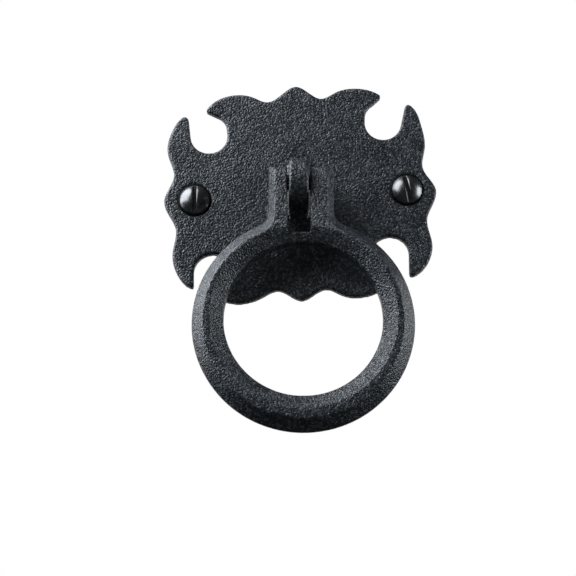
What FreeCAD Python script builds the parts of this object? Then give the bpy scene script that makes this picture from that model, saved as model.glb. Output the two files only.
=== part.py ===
import FreeCAD, Part
import math
import os

# Black cast-iron ring pull: a fretted back plate with a pivot lug, a swinging ring, its pin and two screws.
# Frame: millimetres, +Z up. The plate's back lies on the plane Y = 0 and its front faces -Y. The origin is
# midway between the two screws. The ring hangs straight down from a pin that runs along X.

V = FreeCAD.Vector
ACROSS = V(1, 0, 0)
INTO_WALL = V(0, 1, 0)

# Back plate
plate_thickness = 2.2
plate_turn = 2.6                # degrees the plate sits askew, anticlockwise seen from the front
plate_edge_softness = 0.3       # bevel of the front edge all round the outline
wing_tip_radius = 0.5           # rounding of the four wing tips, seen from the front
top_reach = 25.6                # screw line to the top bump
bottom_reach = 23.8
left_reach = 29.95              # middle of the plate to the left bump
right_reach = 29.6
top_bump_offset = 0.2           # the top bump's peak, right of the middle
bottom_bump_offset = -1.0

# Fretted outline: each corner has a scalloped wing, a round notch and a side horn, all cut by hand.
# Each point is (inset from the side bump's reach, drop from the top or bottom bump's reach).
# A wing runs from its valley to its tip, and a horn from its tip to the dip beside the side bump.
# A notch is one or two circles (inset, drop, radius) that its wall wraps, from the wing to the horn.
top_left = {
    "wing": [(23.45, 3.4), (20.45, 2.1), (16.55, 1.4), (11.75, 2.9), (9.75, 5.0)],
    "notch": [(11.25, 9.2, 3.0), (10.35, 10.9, 4.0)],
    "horn": [(5.95, 5.3), (3.4, 7.4), (1.9, 10.1), (1.1, 14.2), (2.3, 20.0)],
    "horn_tip_radius": 1.0,
}
top_right = {
    "wing": [(24.0, 3.1), (21.0, 1.8), (16.6, 1.0), (12.6, 1.9), (10.6, 3.2)],
    "notch": [(11.4, 8.0, 3.2), (10.75, 9.5, 3.95)],
    "horn": [(5.45, 4.9), (3.2, 7.2), (2.3, 10.4), (1.8, 15.6), (2.55, 20.5)],
    "horn_tip_radius": 0.8,
}
bottom_right = {
    "wing": [(25.1, 2.3), (21.9, 0.9), (17.6, 0.2), (13.6, 1.3), (11.0, 3.2)],
    "notch": [(10.9, 9.55, 3.95)],
    "horn": [(7.2, 4.0), (4.5, 5.3), (2.7, 7.4), (1.6, 11.3), (2.35, 17.2)],
    "horn_tip_radius": 0.7,
}
bottom_left = {
    "wing": [(24.05, 2.4), (20.95, 1.3), (15.15, -0.1), (11.35, 0.9), (9.05, 2.2)],
    "notch": [(10.25, 7.0, 4.2)],
    "horn": [(5.95, 3.5), (3.9, 4.8), (2.4, 7.0), (1.45, 11.5), (2.35, 17.5)],
    "horn_tip_radius": 0.5,
}

# Pivot
pin_radius = 1.75
pin_height = 1.1                # above the screw line
lug_width = 4.3
lug_offset = -0.5               # the lug, and the fork round it, sit left of the neck's middle
lug_wall = 3.55                 # iron round the pin's bore
lug_root_radius = 2.0           # sweep of the lug into the plate above and below
lug_edge_softness = 0.4         # bevel of the lug's side edges
ear_gap = 0.32                  # each side of the lug, inside the fork
pin_running_clearance = 0.06    # radial, in the lug
pin_riveted_clearance = 0.02    # radial, in the ears

# Ring
ring_radius = 23.7              # outer edge
ring_width = 6.85               # outer edge to the hole, on average
ring_offset = 0.4               # the round sits right of the neck's middle
ring_half_depth = 3.5
ring_clearance = 1.2            # the hanging ring's back to the plate's front face
ring_edge_land = 0.5            # half width of the narrow land on the outer edge
ring_bevel = 2.4                # width of the outer bevel, seen from the front
hole_rise = 0.85                # the hole sits above the ring's centre, so the ring is thicker below
hole_land = 1.5                 # half width of the straight wall of the hole
hole_bevel = 3.2                # width of the inner bevel, seen from the front
neck_length = 8.0               # pin axis to the top of the round
ear_width = 4.63                # an ear's width, on average
neck_bevel = 1.4                # width of the bevel on the neck's sides
shoulder_radius = 3.0           # hollow between the neck and the ring
front_shoulder_radius = 4.6
ear_taper = 0.1                 # the ears' round ends are this much slimmer than the ring is deep
fork_bridge = 2.0               # iron left between the fork and the hole

# Fixing screws
screw_margin = 6.4              # screw axis to the nearer side bump
screw_line_turn = 3.0           # degrees, anticlockwise seen from the front
screw_head_radius = 3.35
screw_head_height = 2.4
screw_rim = 0.3                 # short straight side under the dome
screw_seat_gap = 0.3            # round the head
screw_seat_depth = 0.5
screw_shank_radius = 1.7
screw_hole_clearance = 0.3
screw_thread_depth = 0.45
screw_length = 16.0             # under the head to the point
screw_plain_length = 5.2        # unthreaded shank under the head
screw_point_length = 3.0
slot_width = 0.85
slot_depth = 1.3
slot_turns = (0.5, -11.6)       # degrees from upright, left screw and right screw

# Sizes that follow from the ones above
side_reach = {-1: left_reach, 1: right_reach}
end_reach = {-1: bottom_reach, 1: top_reach}
plate_front = -plate_thickness
pin_standoff = ring_half_depth + ring_clearance
pin_y = plate_front - pin_standoff
lug_nose_radius = pin_radius + lug_wall
ring_front_radius = ring_radius - ring_bevel
ring_drop = neck_length + ring_radius
hole_radius = ring_radius - ring_width
neck_half_width = lug_width / 2 + ear_gap + ear_width
ear_end_radius = ring_half_depth - ear_taper
fork_depth = ring_drop - hole_rise - hole_radius - fork_bridge
screw_spacing = 2 * (min(left_reach, right_reach) - screw_margin)
screw_seat_radius = screw_head_radius + screw_seat_gap
screw_core_radius = screw_shank_radius - screw_thread_depth
cut_over = 1.0                  # how far a cutter runs past the face it cuts
near = 0.05                     # how close an edge lies to the place where it is looked for


def turned(x, z, degrees):
    """A point on the plate's back, turned anticlockwise about the origin as seen from the front."""
    angle = math.radians(degrees)
    return V(x * math.cos(angle) - z * math.sin(angle), 0, x * math.sin(angle) + z * math.cos(angle))


def plate_point(x, z):
    return turned(x, z, plate_turn)


def ring_point(x, z, depth):
    """A point of the hanging ring: z from the pin axis, depth towards the front from the ring's own plane."""
    return V(x, pin_y - depth, pin_height + z)


def smooth_edge(points):
    curve = Part.BSplineCurve()
    curve.interpolate(points)
    return curve.toShape()


def corner_point(inset, drop, side, up):
    """A point of one corner of the plate; side and up are -1 or 1."""
    return plate_point(side * (side_reach[side] - inset), up * (end_reach[up] - drop))


def swung(direction, degrees):
    return FreeCAD.Rotation(INTO_WALL, degrees).multVec(direction)


def touch_point(outside, centre, radius, hand):
    """Where a line from an outside point touches a circle; hand picks one of the two."""
    reach = outside - centre
    opening = math.degrees(math.acos(radius / reach.Length))
    return centre + swung(reach, hand * opening).normalize() * radius


def bridge_points(first, first_radius, second, second_radius, hand):
    """The two ends of the line that touches two circles on the same side."""
    reach = second - first
    opening = math.degrees(math.acos((first_radius - second_radius) / reach.Length))
    normal = swung(reach, -hand * opening).normalize()
    return [first + normal * first_radius, second + normal * second_radius]


def arc_about(centre, start, end, hand):
    """The arc from start to end that turns about its centre the way hand says."""
    first = start - centre
    last = end - centre
    sweep = math.degrees(math.atan2(hand * INTO_WALL.dot(first.cross(last)), first.dot(last))) % 360
    return Part.Arc(start, centre + swung(first, hand * sweep / 2), end).toShape()


def notch_edges(circles, wing_tip, horn_tip, hand):
    """Wall of a notch: a line from the wing tip, round one or two circles, and a line to the horn tip."""
    stops = [wing_tip, touch_point(wing_tip, *circles[0], hand)]
    for first, second in zip(circles, circles[1:]):
        stops += bridge_points(*first, *second, hand)
    stops += [touch_point(horn_tip, *circles[-1], -hand), horn_tip]
    lines = [Part.makeLine(start, end) for start, end in zip(stops[0::2], stops[1::2])]
    arcs = [arc_about(centre, start, end, hand)
            for (centre, _), start, end in zip(circles, stops[1::2], stops[2::2])]
    return lines + arcs


def plate_outline():
    """Closed outline of the plate's back, with the points and radii of its wing tips and horn tips."""
    places = [(top_left, -1, 1), (top_right, 1, 1), (bottom_right, 1, -1), (bottom_left, -1, -1)]
    wings, horns = [[[corner_point(*point, side, up) for point in corner[run]] for corner, side, up in places]
                    for run in ("wing", "horn")]
    edges = [smooth_edge(wings[0][::-1] + [plate_point(top_bump_offset, top_reach)] + wings[1]),
             smooth_edge(horns[1] + [plate_point(right_reach, 0)] + horns[2][::-1]),
             smooth_edge(wings[2][::-1] + [plate_point(bottom_bump_offset, -bottom_reach)] + wings[3]),
             smooth_edge(horns[3] + [plate_point(-left_reach, 0)] + horns[0][::-1])]
    tips = []
    for (corner, side, up), wing, horn in zip(places, wings, horns):
        circles = [(corner_point(inset, drop, side, up), radius) for inset, drop, radius in corner["notch"]]
        edges += notch_edges(circles, wing[-1], horn[0], -side * up)
        tips += [(wing[-1], wing_tip_radius), (horn[0], corner["horn_tip_radius"])]
    return Part.Wire(Part.__sortEdges__(edges)), tips


def screw_places():
    return [turned(side * screw_spacing / 2, 0, screw_line_turn) for side in (-1, 1)]


def soft_plate():
    """The fretted plate with rounded tips and a bevelled front edge."""
    outline, tips = plate_outline()
    plate = Part.Face(outline).extrude(V(0, plate_front, 0))
    for tip, radius in tips:
        middle = tip + V(0, plate_front / 2, 0)
        plate = plate.makeFillet(radius, [edge for edge in plate.Edges
                                          if (edge.CenterOfMass - middle).Length < near])
    rim = [edge for edge in plate.Edges if abs(edge.BoundBox.YMax - plate_front) < near]
    return plate.makeChamfer(plate_edge_softness, rim)


def pivot_lug():
    """Round-nosed lug that sweeps into the plate above and below, with bevelled side edges."""
    nose = lug_nose_radius
    root = lug_root_radius
    foot = nose + root
    buried = -plate_thickness / 2
    sweep_mid = root * (1 - math.sqrt(0.5))

    def at(depth, z):
        return V(lug_offset - lug_width / 2, plate_front - depth, pin_height + z)

    def sweep(up):
        return Part.Arc(at(0, up * foot), at(sweep_mid, up * (nose + sweep_mid)), at(root, up * nose)).toShape()

    edges = [sweep(1), sweep(-1),
             Part.Arc(at(pin_standoff, nose), at(pin_standoff + nose, 0), at(pin_standoff, -nose)).toShape(),
             Part.makeLine(at(root, nose), at(pin_standoff, nose)),
             Part.makeLine(at(root, -nose), at(pin_standoff, -nose)),
             Part.makeLine(at(0, -foot), at(buried, -foot)),
             Part.makeLine(at(buried, -foot), at(buried, foot)),
             Part.makeLine(at(buried, foot), at(0, foot))]
    lug = Part.Face(Part.Wire(Part.__sortEdges__(edges))).extrude(ACROSS * lug_width)
    side_edges = [edge for edge in lug.Edges
                  if edge.BoundBox.XLength < near and edge.BoundBox.YMin < plate_front - root - near]
    return lug.makeChamfer(lug_edge_softness, side_edges)


def back_plate():
    plate = soft_plate().fuse(pivot_lug())
    cutters = [Part.makeCylinder(pin_radius + pin_running_clearance, lug_width + 2 * cut_over,
                                 V(lug_offset - lug_width / 2 - cut_over, pin_y, pin_height), ACROSS)]
    for place in screw_places():
        start = place - INTO_WALL * (plate_thickness + cut_over)
        cutters.append(Part.makeCylinder(screw_shank_radius + screw_hole_clearance,
                                         plate_thickness + 2 * cut_over, start, INTO_WALL))
        cutters.append(Part.makeCylinder(screw_seat_radius, screw_seat_depth + cut_over, start, INTO_WALL))
    return plate.cut(cutters).removeSplitter()


def shoulder(side, radius, half_width, hollow):
    """Hollow arc from the round to one side of the neck: its start, a point on it and its end, as (x, z)."""
    across = side * (half_width + hollow) - ring_offset
    up = math.sqrt((radius + hollow) ** 2 - across ** 2)
    share = radius / (radius + hollow)
    start = V(ring_offset + across * share, 0, up * share - ring_drop)
    centre = V(ring_offset + across, 0, up - ring_drop)
    end = centre - ACROSS * side * hollow
    middle = centre + ((start - centre) + (end - centre)).normalize() * hollow
    return [start, middle, end]


def ring_outline(radius, half_width, hollow, depth):
    """Outline of ring and neck at one depth: the round, two hollow shoulders, the neck's sides and its top."""
    top = ear_end_radius + cut_over
    left, right = [[ring_point(point.x, point.z, depth) for point in shoulder(side, radius, half_width, hollow)]
                   for side in (-1, 1)]
    corners = [ring_point(half_width, top, depth), ring_point(-half_width, top, depth)]
    bottom = ring_point(ring_offset, -ring_drop - radius, depth)
    return Part.Wire([Part.Arc(left[0], bottom, right[0]).toShape(),
                      Part.Arc(*right).toShape(),
                      Part.makeLine(right[2], corners[0]),
                      Part.makeLine(*corners),
                      Part.makeLine(corners[1], left[2]),
                      Part.Arc(*left[::-1]).toShape()])


def ring_body():
    """Ring and neck: straight land on the outer edge, bevelled towards front and back."""
    edge = [ring_radius, neck_half_width, shoulder_radius]
    face = [ring_front_radius, neck_half_width - neck_bevel, front_shoulder_radius]
    sections = [ring_outline(*face, ring_half_depth), ring_outline(*edge, ring_edge_land),
                ring_outline(*edge, -ring_edge_land), ring_outline(*face, -ring_half_depth)]
    return Part.makeLoft(sections, True, True)


def ring_hole():
    """Round hole with a straight wall and a bevel to each face, turned about the hole's own axis."""
    centre_z = hole_rise - ring_drop
    over = ring_half_depth + cut_over
    mouth = hole_radius + hole_bevel * (over - hole_land) / (ring_half_depth - hole_land)
    profile = [(0, over), (mouth, over), (hole_radius, hole_land),
               (hole_radius, -hole_land), (mouth, -over), (0, -over)]
    corners = [ring_point(ring_offset + radius, centre_z, depth) for radius, depth in profile]
    face = Part.Face(Part.makePolygon(corners + corners[:1]))
    return face.revolve(ring_point(ring_offset, centre_z, 0), INTO_WALL, 360)


def ear_ends():
    """Side view of the hanging ring: a half round about the pin at the top, then straight down."""
    far = -ring_drop - ring_radius - cut_over
    side = neck_half_width + ring_radius

    def at(depth, z):
        return ring_point(-side, z, depth)

    steps = [at(ear_end_radius, 0), at(ring_half_depth, -ear_end_radius), at(ring_half_depth, far),
             at(-ring_half_depth, far), at(-ring_half_depth, -ear_end_radius), at(-ear_end_radius, 0)]
    edges = [Part.Arc(steps[-1], at(0, ear_end_radius), steps[0]).toShape()]
    edges += [Part.makeLine(start, end) for start, end in zip(steps, steps[1:])]
    return Part.Face(Part.Wire(edges)).extrude(ACROSS * 2 * side)


def pin_rod(radius):
    return Part.makeCylinder(radius, 2 * (neck_half_width + cut_over),
                             ring_point(-neck_half_width - cut_over, 0, 0), ACROSS)


def ring_blank():
    """Ring and neck in one casting, before the fork and the pin's bore are cut."""
    return ring_body().common(ear_ends()).cut(ring_hole()).removeSplitter()


def pull_ring(blank):
    half_slot = lug_width / 2 + ear_gap
    over = ring_half_depth + cut_over
    slot = Part.makeBox(2 * half_slot, 2 * over, fork_depth + ear_end_radius + cut_over,
                        ring_point(lug_offset - half_slot, -fork_depth, over))
    return blank.cut([slot, pin_rod(pin_radius + pin_riveted_clearance)]).removeSplitter()


def pivot_pin(blank):
    """Plain pin, riveted and dressed flush with the ears' bevelled sides."""
    return pin_rod(pin_radius).common(blank)


def fixing_screw(place, slot_turn):
    """Slotted round-head screw turned about its axis, which runs into the wall from the plate's seat."""
    seat = place + V(0, plate_front + screw_seat_depth, 0)
    dome = screw_head_height - screw_rim
    ball = (screw_head_radius ** 2 + dome ** 2) / (2 * dome)
    half_angle = math.asin(screw_head_radius / ball) / 2

    def at(radius, along):
        return seat + V(radius, along, 0)

    crown = at(ball * math.sin(half_angle), ball * (1 - math.cos(half_angle)) - screw_head_height)
    steps = [at(screw_head_radius, -screw_rim), at(screw_head_radius, 0), at(screw_shank_radius, 0),
             at(screw_shank_radius, screw_plain_length), at(screw_core_radius, screw_plain_length),
             at(screw_core_radius, screw_length - screw_point_length), at(0, screw_length),
             at(0, -screw_head_height)]
    edges = [Part.Arc(steps[-1], crown, steps[0]).toShape()]
    edges += [Part.makeLine(start, end) for start, end in zip(steps, steps[1:])]
    screw = Part.Face(Part.Wire(edges)).revolve(seat, INTO_WALL, 360)
    over = screw_head_radius + cut_over
    slot = Part.makeBox(slot_width, slot_depth + cut_over, 2 * over,
                        seat + V(-slot_width / 2, -screw_head_height - cut_over, -over))
    slot.rotate(seat, INTO_WALL, slot_turn)
    return screw.cut(slot)


def fixing_screws():
    return Part.makeCompound([fixing_screw(place, turn) for place, turn in zip(screw_places(), slot_turns)])


blank = ring_blank()
parts = {
    "back_plate": back_plate(),
    "pull_ring": pull_ring(blank),
    "pivot_pin": pivot_pin(blank),
    "fixing_screws": fixing_screws(),
}
os.makedirs("parts", exist_ok=True)
for name, shape in parts.items():
    shape.exportStep(f"parts/{name}.step")
    print(name, "solids", len(shape.Solids), "volume", round(shape.Volume, 2), "valid", shape.isValid())
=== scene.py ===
# %% [markdown]
# # A black cast-iron ring pull
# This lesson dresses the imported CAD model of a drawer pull: a fretted back plate, a ring that swings on a
# pin, and two slotted screws. The CAD part is the frame of the lesson. It is loaded first and never moved,
# and every piece made below rides on one of its two bodies, so the ring can still swing at the end.

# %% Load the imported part
import math

import bmesh
import bpy
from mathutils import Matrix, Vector


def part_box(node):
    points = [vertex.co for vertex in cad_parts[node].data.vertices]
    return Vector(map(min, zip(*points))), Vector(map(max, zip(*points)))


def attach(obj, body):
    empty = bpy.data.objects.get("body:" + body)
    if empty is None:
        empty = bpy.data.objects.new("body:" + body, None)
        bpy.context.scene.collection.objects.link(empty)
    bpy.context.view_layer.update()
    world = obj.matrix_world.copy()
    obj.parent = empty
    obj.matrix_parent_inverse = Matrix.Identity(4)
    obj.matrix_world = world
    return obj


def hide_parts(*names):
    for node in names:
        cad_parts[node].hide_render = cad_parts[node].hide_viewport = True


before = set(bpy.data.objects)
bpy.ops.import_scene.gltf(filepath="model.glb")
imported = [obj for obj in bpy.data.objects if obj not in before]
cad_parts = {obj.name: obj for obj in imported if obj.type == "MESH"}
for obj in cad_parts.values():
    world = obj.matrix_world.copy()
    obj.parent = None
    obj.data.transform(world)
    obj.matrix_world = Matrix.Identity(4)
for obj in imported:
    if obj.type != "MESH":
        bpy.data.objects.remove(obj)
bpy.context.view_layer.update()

MM = 0.001
scene = bpy.context.scene

# %% [markdown]
# ## Camera
# The handle was photographed from a little below, square on from left to right. A long lens keeps the ring,
# which stands in front of the plate, from looking too large. The camera is set before anything is modelled,
# so that every later render can be laid over the photograph.

# %% Camera 17 degrees below the handle
CAMERA_RISE = math.radians(17)
CAMERA_DISTANCE = 450 * MM
FRAME_WIDTH = 123.8 * MM
SENSOR_WIDTH = 36
aim = Vector((-2.84, -2.6, -21.4)) * MM
look = Vector((0, math.cos(CAMERA_RISE), math.sin(CAMERA_RISE)))
camera_data = bpy.data.cameras.new("photo_camera")
camera_data.sensor_width = SENSOR_WIDTH
camera_data.lens = SENSOR_WIDTH * CAMERA_DISTANCE / FRAME_WIDTH
camera = bpy.data.objects.new("photo_camera", camera_data)
camera.location = aim - look * CAMERA_DISTANCE
camera.rotation_euler = look.to_track_quat("-Z", "Y").to_euler()
scene.collection.objects.link(camera)
scene.camera = camera
scene.view_settings.view_transform = "Standard"
print("lens in mm:", round(camera_data.lens, 1))

# %% [markdown]
# ## A short way to write nodes
# Materials, Geometry Nodes and the world are all node trees. One small helper adds a node, sets or links
# its sockets, and hands the node back, so that a tree reads like a list of steps. Numbered sockets are given
# in order, and named ones by name. A socket that is another node's output becomes a link.

# %% Node helpers
def fill(tree, socket, value):
    """Links a socket to another node's output, or sets it to a plain value."""
    if isinstance(value, bpy.types.NodeSocket):
        tree.links.new(value, socket)
    elif value is not None:
        socket.default_value = value


def add(tree, kind, *inputs, props=None, **named):
    """Adds a node; inputs fill its sockets in order, named ones by name, and props are its settings."""
    made = tree.nodes.new(kind)
    for key, value in (props or {}).items():
        setattr(made, key, value)
    for socket, value in zip(made.inputs, inputs):
        fill(tree, socket, value)
    for key, value in named.items():
        fill(tree, made.inputs[key.replace("_", " ")], value)
    return made


def maths(tree, operation, *inputs):
    return add(tree, "ShaderNodeMath", *inputs, props={"operation": operation}).outputs[0]


def vector_maths(tree, operation, *inputs, **named):
    return add(tree, "ShaderNodeVectorMath", *inputs, props={"operation": operation}, **named).outputs[0]


def spread(tree, value, low, high, to_low, to_high):
    """Stretches the band between low and high onto the band from to_low to to_high, and clamps it there."""
    return add(tree, "ShaderNodeMapRange", value, low, high, to_low, to_high).outputs[0]


def blend_colours(tree, share, first, second):
    """A Mix node has sockets for every kind of data: 0, 6 and 7 are the share and the two colours."""
    mix = add(tree, "ShaderNodeMix", props={"data_type": "RGBA"})
    for number, value in ((0, share), (6, first), (7, second)):
        fill(tree, mix.inputs[number], value)
    return mix.outputs[2]


print("node helpers ready")

# %% [markdown]
# ## Studio
# The photograph has a pure white background and no visible shadow. The backdrop stands far behind the
# handle, is white to the camera and to reflections, and is plain pale paint to everything else. The floor
# lies below the camera's view and is only partly white, so it keeps the soft shadow. A wide black card under
# the handle, which the camera can't see, hides that floor from the glossy black surfaces. It keeps the
# ring's underside as black as the photographer had it.

# %% Studio paints
WHITE = (1, 1, 1, 1)
PALE = (0.8, 0.8, 0.8, 1)
CARD_BLACK = (0.005, 0.005, 0.005, 1)
PAINT_ROUGHNESS = 0.9


def plain_paint(name, colour):
    material = bpy.data.materials.new(name)
    material.use_nodes = True
    surface = material.node_tree.nodes["Principled BSDF"]
    surface.inputs["Base Color"].default_value = colour
    surface.inputs["Roughness"].default_value = PAINT_ROUGHNESS
    return material


def studio_white(name, share):
    """Pale paint; share is how far the camera, reflections and glass see it as plain white instead."""
    material = plain_paint(name, PALE)
    tree = material.node_tree
    path = add(tree, "ShaderNodeLightPath")
    seen = maths(tree, "MAXIMUM", path.outputs["Is Camera Ray"], path.outputs["Is Glossy Ray"])
    seen = maths(tree, "MAXIMUM", seen, path.outputs["Is Transmission Ray"])
    glow = add(tree, "ShaderNodeEmission", WHITE, 1.0)
    mix = add(tree, "ShaderNodeMixShader", maths(tree, "MULTIPLY", seen, share),
              tree.nodes["Principled BSDF"].outputs[0], glow.outputs[0])
    tree.links.new(mix.outputs[0], tree.nodes["Material Output"].inputs["Surface"])
    return material


floor_pale = studio_white("floor_pale", 0.7)
backdrop_white = studio_white("backdrop_white", 1.0)
card_black = plain_paint("card_black", CARD_BLACK)
print("paints:", floor_pale.name, backdrop_white.name, card_black.name)

# %% Floor, backdrop and black card
ROOM_REACH = 2.0
FLOOR_Z = -0.3
BACK_Y = 0.8
BACK_TOP = 1.2
CARD_REACH = 1.5
CARD_Z = -0.13
CARD_BACK = 0.6


def sheet_of(name, corners, material):
    """A flat four-cornered sheet for the studio; it rides on neither of the handle's bodies."""
    mesh = bpy.data.meshes.new(name)
    mesh.from_pydata(corners, [], [(0, 1, 2, 3)])
    mesh.materials.append(material)
    made = bpy.data.objects.new(name, mesh)
    scene.collection.objects.link(made)
    return made


def level_corners(reach, back, z):
    """Corners of a level sheet that reaches as far to each side as to the front, and back to Y = back."""
    return [(-reach, -reach, z), (reach, -reach, z), (reach, back, z), (-reach, back, z)]


floor = sheet_of("floor", level_corners(ROOM_REACH, BACK_Y, FLOOR_Z), floor_pale)
backdrop = sheet_of("backdrop", [(-ROOM_REACH, BACK_Y, FLOOR_Z), (ROOM_REACH, BACK_Y, FLOOR_Z),
                                 (ROOM_REACH, BACK_Y, BACK_TOP), (-ROOM_REACH, BACK_Y, BACK_TOP)],
                    backdrop_white)
card = sheet_of("black_card", level_corners(CARD_REACH, CARD_BACK, CARD_Z), card_black)
card.visible_camera = False
card.visible_shadow = False
card.visible_transmission = False
print("stage:", floor.name, backdrop.name, card.name)

# %% [markdown]
# ## Light
# The highlights on the two round screw heads show where the lamps stood. A large soft lamp hangs close by on
# the upper left, and a narrow one beside the handle lights the bevels that face left. A smaller one stands
# far round to the right, where the ears hide it from the left screw. Two faint ones fill in from above and
# below, and the room stays almost dark. Each lamp's strength is written as the brightness of its face,
# because that is what a glossy black surface mirrors.

# %% Soft lamps and a dim room
LAMP_TINT = (0.94, 1.0, 1.05)
WHITE_FACE_WATTS = 4
ROOM_GREY = (0.036, 0.038, 0.04, 1)


def softbox(name, place, width, height, brightness):
    """A lamp turned to the origin; brightness is what the camera would see on its face, where 1 is white."""
    data = bpy.data.lights.new(name, "AREA")
    data.shape = "RECTANGLE"
    data.size = width
    data.size_y = height
    data.energy = WHITE_FACE_WATTS * width * height * brightness
    data.color = LAMP_TINT
    lamp = bpy.data.objects.new(name, data)
    lamp.location = place
    lamp.rotation_euler = (-Vector(place)).to_track_quat("-Z", "Y").to_euler()
    lamp.visible_camera = False
    scene.collection.objects.link(lamp)


def dim_room(grey):
    """White to the camera and through glass, and a dim even grey to everything else."""
    world = bpy.data.worlds.new("room")
    scene.world = world
    world.use_nodes = True
    tree = world.node_tree
    tree.nodes.clear()
    path = add(tree, "ShaderNodeLightPath")
    seen = maths(tree, "MAXIMUM", path.outputs["Is Camera Ray"], path.outputs["Is Transmission Ray"])
    dim = add(tree, "ShaderNodeBackground", grey, 1.0)
    white = add(tree, "ShaderNodeBackground", WHITE, 1.0)
    mix = add(tree, "ShaderNodeMixShader", seen, dim.outputs[0], white.outputs[0])
    add(tree, "ShaderNodeOutputWorld", mix.outputs[0])


softbox("lamp_left", (-0.151, -0.043, 0.106), width=0.21, height=0.23, brightness=4.4)
softbox("lamp_side", (-0.249, 0.022, 0.0), width=0.08, height=0.14, brightness=1.6)
softbox("lamp_right", (0.295, -0.052, 0.021), width=0.14, height=0.2, brightness=5.1)
softbox("lamp_top", (-0.153, -0.129, 0.346), width=0.4, height=0.4, brightness=0.66)
softbox("lamp_low", (0.069, -0.259, -0.297), width=0.25, height=0.2, brightness=1.5)
dim_room(ROOM_GREY)

# %% [markdown]
# ## Sandy black coat
# The castings wear a thin black coat with a fine sandy tooth, less than half a millimetre from grain to
# grain. Bump alone makes it look like leather, so single grains are also paler and glossier than the rest.
# The grain is one shader group that puts out a height, a mask of the bright grains and a slow mottling, and
# each finish places it with its own sizes. The ring's tooth is lower on its loop, where fingers rub it. In
# narrow gaps, found by ambient occlusion, and in a ring round each screw seat, shade is painted into the
# coat as near black and the grain is flattened.

# %% Grain group
BEAD_REACH = 0.7
BEAD_SHARE = 0.5
BRIGHT_FROM = 0.55


def shader_group(name, inputs, outputs):
    """An empty shader group with named number sockets; returns it with its input and output nodes."""
    group = bpy.data.node_groups.new(name, "ShaderNodeTree")
    for label, value in inputs.items():
        socket = group.interface.new_socket(label, in_out="INPUT", socket_type="NodeSocketFloat")
        socket.default_value = value
    for label in outputs:
        group.interface.new_socket(label, in_out="OUTPUT", socket_type="NodeSocketFloat")
    return group, group.nodes.new("NodeGroupInput"), group.nodes.new("NodeGroupOutput")


def sand_grain_group():
    """Round beads of sand on a rough ground; each bead has its own chance to be a bright one."""
    group, given, result = shader_group("sand_grain", {"Grain Size": 0.4 * MM, "Mottle Size": 7 * MM},
                                        ["Height", "Bright Grains", "Mottle"])
    place = add(group, "ShaderNodeTexCoord").outputs["Object"]
    fine = maths(group, "DIVIDE", 1.0, given.outputs["Grain Size"])
    coarse = maths(group, "DIVIDE", 1.0, given.outputs["Mottle Size"])
    rough = add(group, "ShaderNodeTexNoise", Vector=place, Scale=fine, Detail=1.0, Roughness=0.45)
    beads = add(group, "ShaderNodeTexVoronoi", Vector=place, Scale=fine)
    bead = maths(group, "SUBTRACT", BEAD_REACH, beads.outputs["Distance"])
    height = maths(group, "MULTIPLY_ADD", bead, BEAD_SHARE, rough.outputs["Fac"])
    chance = add(group, "ShaderNodeSeparateColor", beads.outputs["Color"]).outputs[0]
    bright = spread(group, chance, BRIGHT_FROM, 1.0, 0.0, 1.0)
    patches = add(group, "ShaderNodeTexNoise", Vector=place, Scale=coarse, Detail=3.0, Roughness=0.55)
    mottle = spread(group, patches.outputs["Fac"], 0.3, 0.7, 0.0, 1.0)
    for label, value in (("Height", height), ("Bright Grains", bright), ("Mottle", mottle)):
        group.links.new(value, result.inputs[label])
    return group


sand_grain = sand_grain_group()
print("group:", sand_grain.name, [item.name for item in sand_grain.interface.items_tree])

# %% Screw seats
BOX_INSET = 3.35 * MM
screws_low, screws_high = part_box("fixing_screws")
left_seat = Vector((screws_low.x + BOX_INSET, 0, screws_low.z + BOX_INSET))
right_seat = Vector((screws_high.x - BOX_INSET, 0, screws_high.z - BOX_INSET))
print("screw seats in mm:", [[round(value / MM, 2) for value in seat] for seat in (left_seat, right_seat)])

# %% Black iron finish
COAT_DEEP = (0.006, 0.0075, 0.0095, 1)
COAT_THIN = (0.016, 0.019, 0.023, 1)
# Near black, painted as shade into narrow gaps and into a ring round each screw seat.
PAINTED_SHADE_BLACK = (0.002, 0.002, 0.002, 1)
COAT_ROUGHNESS = 0.38
BRIGHT_ROUGHNESS = 0.28
COAT_IOR = 1.6
# Ambient occlusion within this reach marks the narrow gaps where shade is painted.
GAP_REACH = 1.8 * MM
GAP_SAMPLES = 8
GAP_FULL_SHADE = 0.05
GAP_NO_SHADE = 0.3
# A painted shadow ring round each screw seat, fading out between these two radii.
SEAT_SHADOW_RADIUS = 3.6 * MM
SEAT_SHADOW_END = 3.9 * MM
GRAIN_LEVEL = 0.65
MOTTLED_TOOTH = 0.65
EARS_FOOT_Z = -9 * MM
LOOP_TOP_Z = -20 * MM


def unshaded_places(tree, spot, seats):
    """A mask that is 0 in narrow gaps and in a ring round each screw seat, where shade is painted and the
    grain flattened, and 1 elsewhere.
    """
    gaps = add(tree, "ShaderNodeAmbientOcclusion", props={"samples": GAP_SAMPLES}, Distance=GAP_REACH)
    free = spread(tree, gaps.outputs["AO"], GAP_FULL_SHADE, GAP_NO_SHADE, 0.0, 1.0)
    # Painted shadow: each seat adds a dark ring round its screw head.
    for seat in seats:
        aside = vector_maths(tree, "MULTIPLY", vector_maths(tree, "SUBTRACT", spot, seat), (1, 0, 1))
        apart = add(tree, "ShaderNodeVectorMath", aside, props={"operation": "LENGTH"}).outputs["Value"]
        free = maths(tree, "MULTIPLY", free, spread(tree, apart, SEAT_SHADOW_RADIUS, SEAT_SHADOW_END, 0.0, 1.0))
    return free


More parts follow.
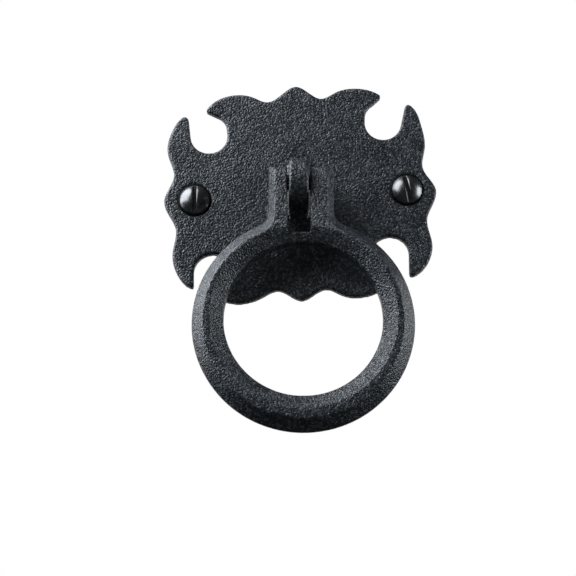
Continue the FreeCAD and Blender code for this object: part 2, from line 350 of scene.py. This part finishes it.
def iron_finish(name, grain_size, tooth, rubbed_tooth, speckle, seats=()):
    """Satin black coat on iron; tooth is the grain's height, and rubbed_tooth its height on the loop."""
    material = bpy.data.materials.new(name)
    material.use_nodes = True
    tree = material.node_tree
    surface = tree.nodes["Principled BSDF"]
    grain = add(tree, "ShaderNodeGroup", props={"node_tree": sand_grain})
    grain.inputs["Grain Size"].default_value = grain_size
    tone = blend_colours(tree, grain.outputs["Mottle"], COAT_DEEP, COAT_THIN)
    tone = blend_colours(tree, grain.outputs["Bright Grains"], tone, speckle)
    spot = add(tree, "ShaderNodeTexCoord").outputs["Object"]
    free = unshaded_places(tree, spot, seats)
    # Painted shade: the coat turns near black in narrow gaps and in a ring round each screw seat.
    tone = blend_colours(tree, free, PAINTED_SHADE_BLACK, tone)
    sheen = spread(tree, grain.outputs["Bright Grains"], 0.0, 1.0, COAT_ROUGHNESS, BRIGHT_ROUGHNESS)
    level = add(tree, "ShaderNodeSeparateXYZ", spot).outputs["Z"]
    height = maths(tree, "SUBTRACT", grain.outputs["Height"], GRAIN_LEVEL)
    for share in (free, spread(tree, grain.outputs["Mottle"], 0.0, 1.0, MOTTLED_TOOTH, 1.0),
                  spread(tree, level, EARS_FOOT_Z, LOOP_TOP_Z, tooth, rubbed_tooth)):
        height = maths(tree, "MULTIPLY", height, share)
    bump = add(tree, "ShaderNodeBump", Strength=1.0, Distance=1.0, Height=height)
    for label, value in (("Base Color", tone), ("Roughness", sheen), ("Normal", bump.outputs["Normal"])):
        tree.links.new(value, surface.inputs[label])
    surface.inputs["IOR"].default_value = COAT_IOR
    return material


# The plate also gets a painted shadow ring round each screw seat.
plate_iron = iron_finish("plate_black_iron", grain_size=0.42 * MM, tooth=0.25 * MM, rubbed_tooth=0.25 * MM,
                         speckle=(0.092, 0.103, 0.117, 1), seats=(left_seat, right_seat))
ring_iron = iron_finish("ring_black_iron", grain_size=0.38 * MM, tooth=0.37 * MM, rubbed_tooth=0.23 * MM,
                        speckle=(0.105, 0.117, 0.133, 1))
print("finishes:", plate_iron.name, ring_iron.name)

# %% [markdown]
# ## Cast skin
# A casting has no sharp edges and no perfectly flat faces. The CAD shapes have both, so each one is copied,
# joined into one closed surface, and meshed evenly in small squares. Smoothing then rounds every ridge, and
# a Geometry Nodes tree presses a grain and a slow waviness into the surface. It only ever moves points
# inwards, so the piece stays inside its CAD size.

# %% Tree that presses the skin inwards
def geometry_tree(name, inputs):
    """A Geometry Nodes tree with a geometry in and out; inputs are (label, kind, value)."""
    tree = bpy.data.node_groups.new(name, "GeometryNodeTree")
    tree.interface.new_socket("Geometry", in_out="INPUT", socket_type="NodeSocketGeometry")
    for label, kind, value in inputs:
        socket = tree.interface.new_socket(label, in_out="INPUT", socket_type="NodeSocket" + kind)
        if value is not None:
            socket.default_value = value
    tree.interface.new_socket("Geometry", in_out="OUTPUT", socket_type="NodeSocketGeometry")
    return tree, tree.nodes.new("NodeGroupInput").outputs, tree.nodes.new("NodeGroupOutput")


def finish_tree(tree, geometry, material, result):
    """Every tree ends the same way: instances made real, then the material."""
    real = add(tree, "GeometryNodeRealizeInstances", geometry)
    dressed = add(tree, "GeometryNodeSetMaterial", real.outputs[0], Material=material)
    tree.links.new(dressed.outputs[0], result.inputs[0])


def cast_skin_tree():
    tree, given, result = geometry_tree("cast_skin", [
        ("Grain Size", "Float", 0.45 * MM), ("Grain Depth", "Float", 0.03 * MM),
        ("Wave Size", "Float", 9 * MM), ("Wave Depth", "Float", 0.05 * MM),
        ("Seed", "Float", 1.0), ("Material", "Material", None)])
    place = add(tree, "GeometryNodeInputPosition").outputs[0]
    pressed = []
    for size, depth in (("Grain Size", "Grain Depth"), ("Wave Size", "Wave Depth")):
        scale = maths(tree, "DIVIDE", 1.0, given[size])
        noise = add(tree, "ShaderNodeTexNoise", props={"noise_dimensions": "4D"}, Vector=place,
                    W=given["Seed"], Scale=scale, Detail=1.0, Roughness=0.5)
        share = spread(tree, noise.outputs[0], 0.2, 0.8, 0.0, 1.0)
        pressed.append(maths(tree, "MULTIPLY", share, given[depth]))
    inwards = maths(tree, "MULTIPLY", maths(tree, "ADD", *pressed), -1.0)
    normal = add(tree, "GeometryNodeInputNormal").outputs[0]
    offset = vector_maths(tree, "SCALE", normal, Scale=inwards)
    moved = add(tree, "GeometryNodeSetPosition", given["Geometry"], Offset=offset)
    finish_tree(tree, moved.outputs[0], given["Material"], result)
    return tree


cast_skin = cast_skin_tree()
print("tree:", cast_skin.name, [item.name for item in cast_skin.interface.items_tree])

# %% Copy, even mesh, soft ridges
MERGE_DISTANCE = 0.0005 * MM
SMOOTHING = 0.5


def merged_copy(node, name):
    """A free copy of a CAD node, its loose triangles joined into one surface."""
    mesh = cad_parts[node].data.copy()
    mesh.materials.clear()
    shell = bmesh.new()
    shell.from_mesh(mesh)
    bmesh.ops.remove_doubles(shell, verts=shell.verts, dist=MERGE_DISTANCE)
    bmesh.ops.recalc_face_normals(shell, faces=shell.faces)
    shell.to_mesh(mesh)
    shell.free()
    piece = bpy.data.objects.new(name, mesh)
    scene.collection.objects.link(piece)
    return piece


def settle(piece):
    """Swaps in the mesh that the piece's modifiers give, and takes the modifiers off."""
    graph = bpy.context.evaluated_depsgraph_get()
    mesh = bpy.data.meshes.new_from_object(piece.evaluated_get(graph))
    piece.modifiers.clear()
    piece.data = mesh
    mesh.name = piece.name


def set_inputs(modifier, values):
    """Sets a tree's inputs on its modifier by the sockets' identifiers."""
    for item in modifier.node_group.interface.items_tree:
        if item.name in values:
            modifier[item.identifier] = values[item.name]


def casting(node, name, square, rounds, skin):
    """A CAD node as a casting: evenly meshed, its ridges rounded, its skin pressed inwards."""
    piece = merged_copy(node, name)
    even = piece.modifiers.new("even_squares", "REMESH")
    even.mode = "VOXEL"
    even.voxel_size = square
    soft = piece.modifiers.new("soft_ridges", "SMOOTH")
    soft.factor = SMOOTHING
    soft.iterations = rounds
    settle(piece)
    pressed = piece.modifiers.new("cast_skin", "NODES")
    pressed.node_group = cast_skin
    set_inputs(pressed, skin)
    settle(piece)
    piece.data.shade_smooth()
    print(name, "triangles:", sum(len(face.vertices) - 2 for face in piece.data.polygons))
    return piece


# %% Back plate and pull ring
plate = casting("back_plate", "plate_casting", square=0.25 * MM, rounds=4,
                skin={"Material": plate_iron, "Seed": 3.0})
ring = casting("pull_ring", "ring_casting", square=0.22 * MM, rounds=6,
               skin={"Material": ring_iron, "Seed": 8.0})
for piece, node, body in ((plate, "back_plate", "plate"), (ring, "pull_ring", "ring")):
    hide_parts(node)
    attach(piece, body)

# %% [markdown]
# ## Pivot pin
# The ring swings on a plain pin through both ears and the lug. Its ends were hammered over, which spread
# them a little in the ears. A bare cylinder would look too clean, so a copy of the CAD pin gets the same
# cast skin, and the points near its two ends are moved outwards from its axis.

# %% Riveted pin
RIVET_LENGTH = 0.7 * MM
RIVET_GROWTH = 1.12


def swell_ends(piece, centre, beyond, growth):
    """Widens a pin along X beyond a distance from its centre, as riveting spreads its two ends."""
    for point in piece.data.vertices:
        if abs(point.co.x - centre.x) > beyond:
            point.co.y = centre.y + (point.co.y - centre.y) * growth
            point.co.z = centre.z + (point.co.z - centre.z) * growth


pin_low, pin_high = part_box("pivot_pin")
pin = casting("pivot_pin", "riveted_pin", square=0.12 * MM, rounds=2,
              skin={"Material": ring_iron, "Seed": 5.0})
swell_ends(pin, (pin_low + pin_high) / 2, (pin_high.x - pin_low.x) / 2 - RIVET_LENGTH, RIVET_GROWTH)
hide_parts("pivot_pin")
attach(pin, "ring")

# %% [markdown]
# ## Slotted screws
# The screws are turned from rod: a round head, a plain shank and a tapered point, with a thread wound round
# it and a slot sawn across the head. A slot cut by a Boolean leaves a ragged edge, so the head is a sheet of
# points in rows that folds down at the slot, and the shank is a profile spun round its axis. The thread
# follows a helix and both screws are the same, so one Geometry Nodes tree winds the thread and sets the
# screw in the plate's two seats, each with its own turn of the slot.

# %% Round head with a sawn slot
HEAD_RADIUS = 3.25 * MM
HEAD_HEIGHT = 2.3 * MM
HEAD_RIM = 0.7 * MM
SLOT_WIDTH = 0.75 * MM
SLOT_DEPTH = 1.3 * MM
SLOT_ROUND = 0.3 * MM


def head_columns(steps=14):
    """(x, drop) from the middle of the slot to the rim: floor, wall, rubbed edge and dome."""
    half = SLOT_WIDTH / 2
    columns = [(0, SLOT_DEPTH), (half, SLOT_DEPTH)]
    for turn in (0, math.pi / 6, math.pi / 3, math.pi / 2):
        columns.append((half + SLOT_ROUND * (1 - math.cos(turn)), SLOT_ROUND * (1 - math.sin(turn))))
    first = math.asin(columns[-1][0] / HEAD_RADIUS)
    for step in range(1, steps + 1):
        columns.append((HEAD_RADIUS * math.sin(first + (math.pi / 2 - first) * step / steps), 0))
    return columns


def head_height(x, z, drop):
    """Height over the seat: the dome, cut down by the drop but never below the slot's floor."""
    dome = HEAD_HEIGHT - HEAD_RIM
    ball = (HEAD_RADIUS ** 2 + dome ** 2) / (2 * dome)
    height = math.sqrt(ball ** 2 - x ** 2 - z ** 2) - ball + HEAD_HEIGHT
    room = max(0, height - (HEAD_HEIGHT - SLOT_DEPTH))
    return height - (room if drop == SLOT_DEPTH else min(drop, room))


def sawn_head(shell, rows=40):
    """Adds the round head with its slot along Z, as one sheet folded over the dome and closed below."""
    half = head_columns()
    grid = []
    for x, drop in [(-x, drop) for x, drop in reversed(half[1:])] + half:
        reach = math.sqrt(max(0, HEAD_RADIUS ** 2 - x ** 2))
        line = [reach * math.sin(math.pi * (row / rows - 0.5)) for row in range(rows + 1)]
        grid.append([shell.verts.new((x, -head_height(x, z, drop), z)) for z in line])
    for left, right in zip(grid, grid[1:]):
        for row in range(rows):
            shell.faces.new((left[row], left[row + 1], right[row + 1], right[row]))
    bmesh.ops.remove_doubles(shell, verts=shell.verts, dist=MERGE_DISTANCE)
    rim = [edge for edge in shell.edges if edge.is_boundary]
    grown = bmesh.ops.extrude_edge_only(shell, edges=rim)["geom"]
    for point in grown:
        if isinstance(point, bmesh.types.BMVert):
            point.co.y = 0
    bmesh.ops.holes_fill(shell, edges=[edge for edge in shell.edges if edge.is_boundary], sides=0)


print("points from slot to rim:", len(head_columns()))

# %% Turned shank and whole blank
SHANK_RADIUS = 1.7 * MM
SHANK_BURIED = 0.5 * MM
SHANK_SHOULDER = 0.5 * MM
CORE_RADIUS = 1.25 * MM
PLAIN_LENGTH = 5.2 * MM
SCREW_LENGTH = 16 * MM
POINT_LENGTH = 3 * MM
SHANK_STEPS = 48


def turned_shank(shell):
    """Adds the shank, core and point, spun about Y; its top is buried in the head."""
    profile = [(0, -SHANK_BURIED), (SHANK_RADIUS, -SHANK_BURIED), (SHANK_RADIUS, PLAIN_LENGTH),
               (CORE_RADIUS, PLAIN_LENGTH + SHANK_SHOULDER), (CORE_RADIUS, SCREW_LENGTH - POINT_LENGTH),
               (0, SCREW_LENGTH)]
    rod = [shell.verts.new((radius, depth, 0)) for radius, depth in profile]
    edges = [shell.edges.new(pair) for pair in zip(rod, rod[1:])]
    bmesh.ops.spin(shell, geom=rod + edges, axis=(0, 1, 0), cent=(0, 0, 0), steps=SHANK_STEPS,
                   angle=2 * math.pi, use_merge=False)


def screw_blank():
    """The screw before its thread is wound, with its seat at the origin and its point along Y."""
    shell = bmesh.new()
    sawn_head(shell)
    turned_shank(shell)
    bmesh.ops.remove_doubles(shell, verts=shell.verts, dist=MERGE_DISTANCE)
    bmesh.ops.recalc_face_normals(shell, faces=shell.faces)
    mesh = bpy.data.meshes.new("screw_blank")
    shell.to_mesh(mesh)
    shell.free()
    return mesh


blank = screw_blank()
print("blank faces:", len(blank.polygons))

# %% Tree that winds the thread and sets both screws
THREAD_SIDES = 4
THREAD_STEPS = 40
TIP_TURNS = 2.0
TIP_RADIUS = 0.25 * MM
TIP_BARE = 0.7 * MM


def wound_thread(tree, ridge, turns, end_radius, first, last, thickness):
    """A thread along Y from first to last, which narrows from the core's radius to end_radius."""
    spiral = add(tree, "GeometryNodeCurveSpiral", THREAD_STEPS, turns, CORE_RADIUS, end_radius, last - first)
    upright = add(tree, "GeometryNodeSetCurveNormal", spiral.outputs[0], props={"mode": "Z_UP"})
    wound = add(tree, "GeometryNodeCurveToMesh", upright.outputs[0], ridge, thickness, True)
    turned = add(tree, "GeometryNodeTransform", wound.outputs[0], Translation=(0, first, 0),
                 Rotation=(-math.pi / 2, 0, 0))
    return turned.outputs[0]


def screw_tree():
    tree, given, result = geometry_tree("slotted_screws", [
        ("Left Place", "Vector", None), ("Right Place", "Vector", None),
        ("Left Slot Turn", "Float", 0.0), ("Right Slot Turn", "Float", 0.0),
        ("Thread Turns", "Float", 6.0), ("Thread Depth", "Float", 0.44 * MM),
        ("Material", "Material", None)])
    circle = add(tree, "GeometryNodeCurvePrimitiveCircle", THREAD_SIDES, Radius=given["Thread Depth"])
    ridge = circle.outputs[0]
    along = add(tree, "GeometryNodeSplineParameter").outputs["Factor"]
    fade_in = spread(tree, along, 0.0, 0.12, 0.1, 1.0)
    fade_out = spread(tree, along, 0.6, 1.0, 1.0, 0.25)
    screw = add(tree, "GeometryNodeJoinGeometry", given["Geometry"])
    taper = SCREW_LENGTH - POINT_LENGTH
    for thread in (
            wound_thread(tree, ridge, given["Thread Turns"], CORE_RADIUS, PLAIN_LENGTH, taper, fade_in),
            wound_thread(tree, ridge, TIP_TURNS, TIP_RADIUS, taper, SCREW_LENGTH - TIP_BARE, fade_out)):
        tree.links.new(thread, screw.inputs[0])
    holes = add(tree, "GeometryNodeMeshLine", props={"mode": "END_POINTS"}, Count=2,
                Start_Location=given["Left Place"], Offset=given["Right Place"])
    which = add(tree, "GeometryNodeInputIndex").outputs[0]
    turn = spread(tree, which, 0.0, 1.0, given["Left Slot Turn"], given["Right Slot Turn"])
    euler = add(tree, "ShaderNodeCombineXYZ", 0.0, turn, 0.0)
    rotation = add(tree, "FunctionNodeEulerToRotation", euler.outputs[0])
    pair = add(tree, "GeometryNodeInstanceOnPoints", holes.outputs[0], Instance=screw.outputs[0],
               Rotation=rotation.outputs[0])
    finish_tree(tree, pair.outputs[0], given["Material"], result)
    return tree


slotted_screws = screw_tree()
print("tree:", slotted_screws.name, [item.name for item in slotted_screws.interface.items_tree])

# %% [markdown]
# ## Screw finish
# The screws are smoother than the castings: a thin black finish on turned steel, with bright, soft
# reflections and no grain. A metal shader would lose the black, so this is a black paint with a high index
# of refraction. Only the slow mottling of the shared grain group is used, and it keeps the gloss from
# looking like glass.

# %% Gloss black screw finish
GLOSS_DEEP = (0.005, 0.005, 0.006, 1)
GLOSS_THIN = (0.009, 0.009, 0.01, 1)
GLOSS_ROUGHNESS = 0.29
MOTTLED_ROUGHNESS = 0.32
GLOSS_IOR = 2.2


def screw_finish():
    material = bpy.data.materials.new("black_screw_gloss")
    material.use_nodes = True
    tree = material.node_tree
    surface = tree.nodes["Principled BSDF"]
    grain = add(tree, "ShaderNodeGroup", props={"node_tree": sand_grain})
    grain.inputs["Grain Size"].default_value = 0.9 * MM
    grain.inputs["Mottle Size"].default_value = 1.6 * MM
    mottle = grain.outputs["Mottle"]
    tree.links.new(blend_colours(tree, mottle, GLOSS_DEEP, GLOSS_THIN), surface.inputs["Base Color"])
    sheen = spread(tree, mottle, 0.0, 1.0, GLOSS_ROUGHNESS, MOTTLED_ROUGHNESS)
    tree.links.new(sheen, surface.inputs["Roughness"])
    surface.inputs["IOR"].default_value = GLOSS_IOR
    return material


black_screw = screw_finish()
print("finish:", black_screw.name)

# %% Set the screws in the plate
TIP_CLEARANCE = 0.01 * MM
LEFT_SLOT_TURN = math.radians(0.5)
RIGHT_SLOT_TURN = math.radians(-11.6)
SHARP_ANGLE = math.radians(35)
seat_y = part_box("fixing_screws")[1].y - SCREW_LENGTH - TIP_CLEARANCE
screws = bpy.data.objects.new("slotted_screws", blank)
scene.collection.objects.link(screws)
winding = screws.modifiers.new("slotted_screws", "NODES")
winding.node_group = slotted_screws
set_inputs(winding, {"Left Place": (left_seat.x, seat_y, left_seat.z),
                     "Right Place": (right_seat.x, seat_y, right_seat.z),
                     "Left Slot Turn": LEFT_SLOT_TURN, "Right Slot Turn": RIGHT_SLOT_TURN,
                     "Material": black_screw})
settle(screws)
screws.data.shade_smooth()
screws.data.set_sharp_from_angle(angle=SHARP_ANGLE)
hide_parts("fixing_screws")
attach(screws, "plate")
print("screws faces:", len(screws.data.polygons))
